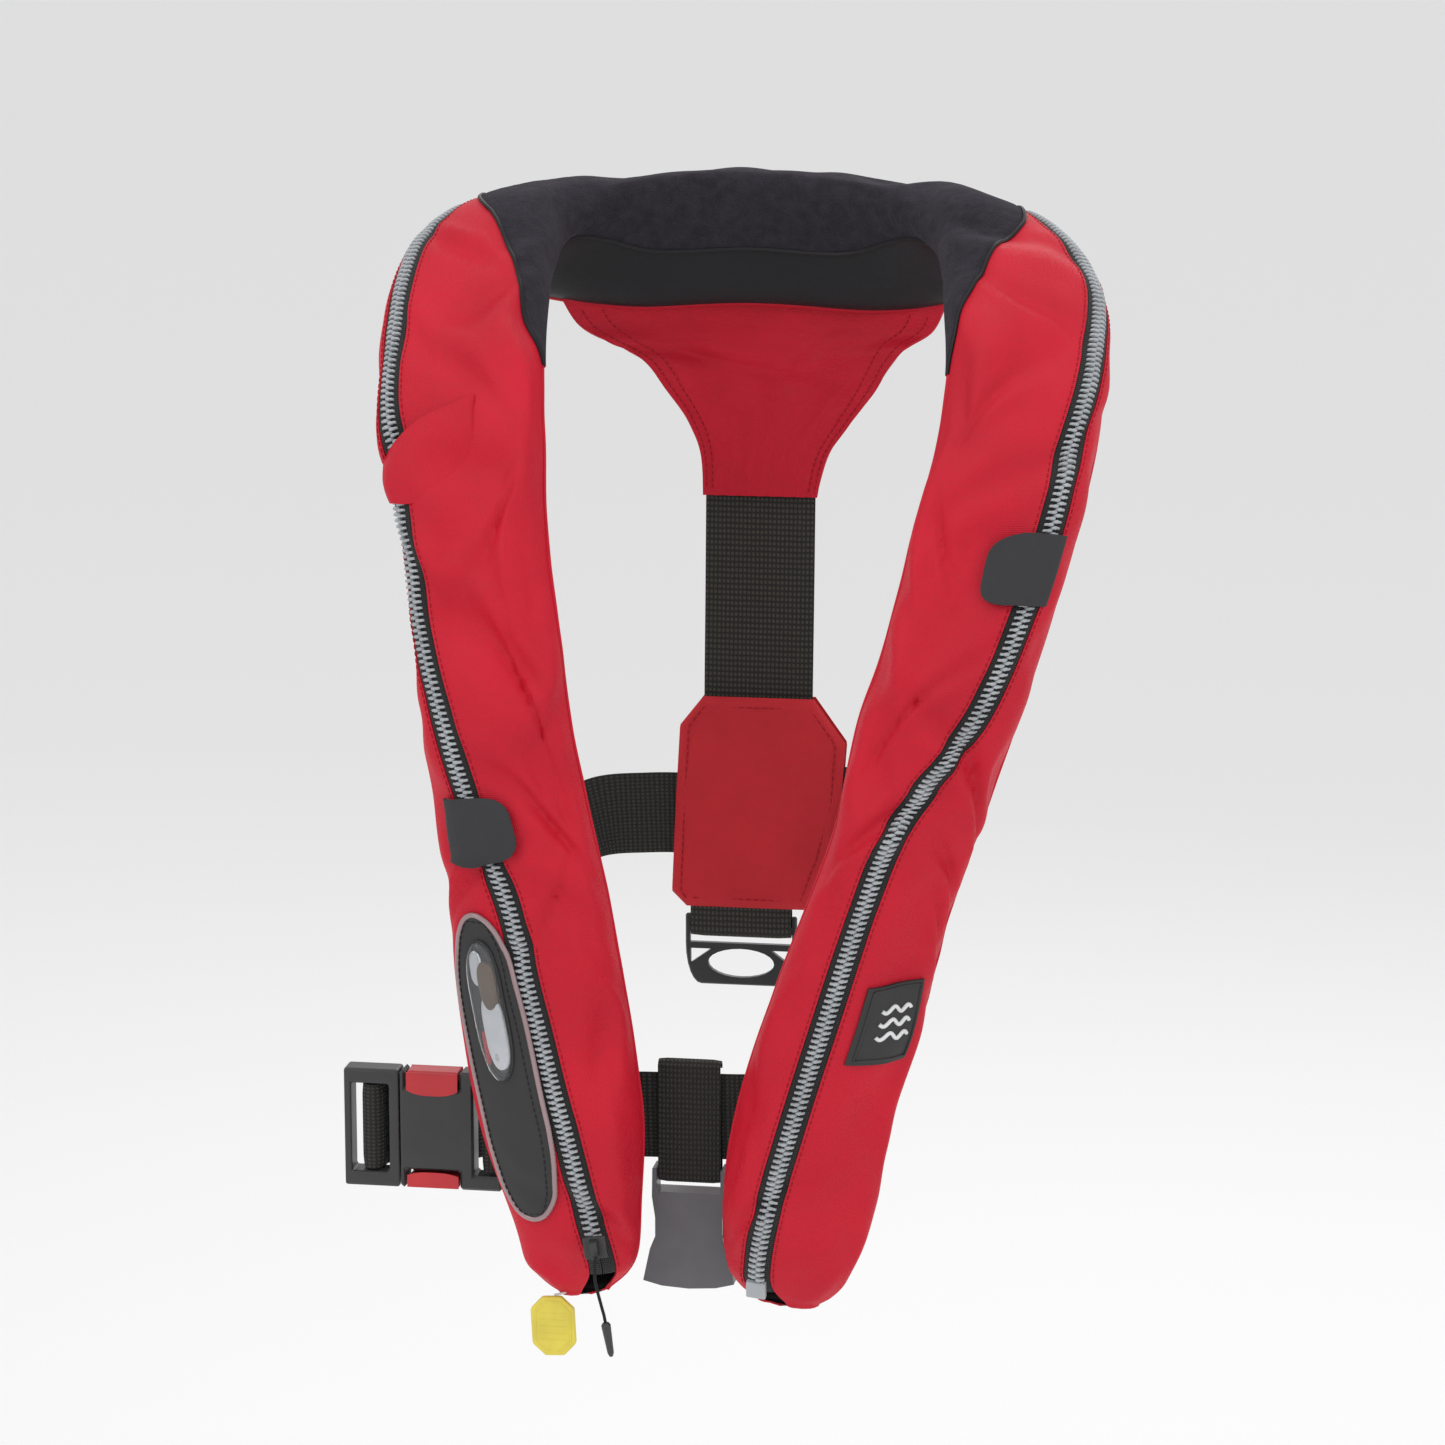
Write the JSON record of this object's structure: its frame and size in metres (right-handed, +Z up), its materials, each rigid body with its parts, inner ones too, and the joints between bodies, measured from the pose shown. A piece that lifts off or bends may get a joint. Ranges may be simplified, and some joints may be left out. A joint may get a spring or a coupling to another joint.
{
  "type": "inflatable life jacket",
  "caption": "Horseshoe inflatable life jacket in a zipped red cover, with fleece collar, waist belt and buckle, back harness and crotch-strap fittings.",
  "frame": {"origin": "on the lining at the nape of the neck, where the wearer's neck holds the jacket up", "axes": "+Z up, front facing -Y, +X towards the wearer's left"},
  "size_m": [0.3311, 0.2287, 0.5033],
  "materials": {
    "cover_red": "plain-weave coated nylon, satin",
    "pad_red": "plain-weave nylon with edge stitching",
    "fleece": "soft brushed fleece",
    "lining": "smooth black coated cloth",
    "webbing": "ribbed polyester webbing",
    "black_plastic": "fine satin moulded texture",
    "button_red": "satin moulded red plastic",
    "teeth": "grey moulded zip teeth",
    "yellow_plastic": "satin yellow plastic",
    "yellow_cloth": "welded coated bladder cloth",
    "white_plastic": "smooth white plastic",
    "steel": "plated steel cylinder",
    "clear": "clear flexible window",
    "badge": "moulded black rubber patch",
    "white_cord": "thin braided cord"
  },
  "bodies": {
    "root": {"back_pad_front": "pad_red", "back_pad_rear": "pad_red", "back_strap": "webbing", "back_yoke": "cover_red", "badge_patch": "badge", "bladder": "yellow_cloth", "collar_lining": "lining", "collar_outer_panel": "cover_red", "crotch_webbing": "webbing", "gas_cylinder": "steel", "inflator_body": "white_plastic", "left_lobe_inner_panel": "cover_red", "left_lobe_lining": "lining", "left_lobe_outer_panel": "cover_red", "neck_fleece": "fleece", "oral_tube": "black_plastic", "oral_tube_cap": "yellow_plastic", "right_lobe_inner_panel": "cover_red", "right_lobe_lining": "lining", "right_lobe_outer_panel": "cover_red", "ring_webbing": "webbing", "waist_belt_left": "webbing", "waist_belt_right": "webbing", "waist_buckle_socket": "black_plastic", "water_sensor_cap": "black_plastic", "whistle": "yellow_plastic", "window_lens": "clear", "window_panel": "badge", "zip_stop": "teeth", "zip_tape_inner": "lining", "zip_tape_outer": "lining", "zip_teeth_inner": "teeth", "zip_teeth_outer": "teeth"},
    "zip_slider": {"zip_slider": "black_plastic"},
    "zip_puller": {"zip_pull_cord": "webbing", "zip_pull_end": "black_plastic"},
    "pull_tab": {"pull_tab": "yellow_plastic", "pull_lanyard": "white_cord"},
    "firing_lever": {"firing_lever": "black_plastic"},
    "right_closure_tab": {"right_closure_tab": "webbing"},
    "left_closure_tab": {"left_closure_tab": "webbing"},
    "waist_buckle_plug": {"waist_buckle_plug": "black_plastic", "plug_webbing": "webbing"},
    "upper_buckle_button": {"upper_buckle_button": "button_red"},
    "lower_buckle_button": {"lower_buckle_button": "button_red"},
    "crotch_buckle": {"crotch_buckle": "black_plastic"},
    "crotch_ring": {"crotch_ring": "black_plastic"}
  },
  "joints": [
    {"name": "zip_slide", "type": "slide", "parent": "root", "child": "zip_slider", "axis": [-0.1168, -0.1068, 0.9874], "range_m": [0, 0.03]},
    {"name": "zip_puller_swing", "type": "hinge", "parent": "zip_slider", "child": "zip_puller", "pos_m": [-0.03677, -0.19049, -0.4144], "axis": [1, 0, 0], "range_deg": [-70, 5]},
    {"name": "pull_tab_pull", "type": "slide", "parent": "root", "child": "pull_tab", "axis": [0, 0, -1], "range_m": [0, 0.025]},
    {"name": "firing_lever_turn", "type": "hinge", "parent": "root", "child": "firing_lever", "pos_m": [-0.086, -0.172, -0.3305], "axis": [0, 1, 0], "range_deg": [0, 60]},
    {"name": "right_closure_tab_peel", "type": "hinge", "parent": "root", "child": "right_closure_tab", "pos_m": [-0.10164, -0.18655, -0.23087], "axis": [0.1639, -0.0275, -0.9861], "range_deg": [0, 100]},
    {"name": "left_closure_tab_peel", "type": "hinge", "parent": "root", "child": "left_closure_tab", "pos_m": [0.15667, -0.16874, -0.11491], "axis": [0.2405, 0.298, 0.9238], "range_deg": [0, 100]},
    {"name": "waist_buckle_release", "type": "slide", "parent": "root", "child": "waist_buckle_plug", "axis": [-1, 0, 0], "range_m": [0, 0.045]},
    {"name": "upper_button_press", "type": "slide", "parent": "root", "child": "upper_buckle_button", "axis": [0, 0, -1], "range_m": [0, 0.0022], "stiffness_N_per_m": 300},
    {"name": "lower_button_press", "type": "slide", "parent": "root", "child": "lower_buckle_button", "axis": [0, 0, 1], "range_m": [0, 0.0022], "stiffness_N_per_m": 300},
    {"name": "crotch_buckle_swing", "type": "hinge", "parent": "root", "child": "crotch_buckle", "pos_m": [-0.002, -0.147, -0.3905], "axis": [1, 0, 0], "range_deg": [-5, 60]},
    {"name": "crotch_ring_swing", "type": "hinge", "parent": "root", "child": "crotch_ring", "pos_m": [-0.0065, 0.0281, -0.3255], "axis": [1, 0, 0], "range_deg": [-45, 70]}
  ],
  "couplings": [
    {"joint": "firing_lever_turn", "follows": "pull_tab_pull", "rad_per_m": 41.888}
  ]
}
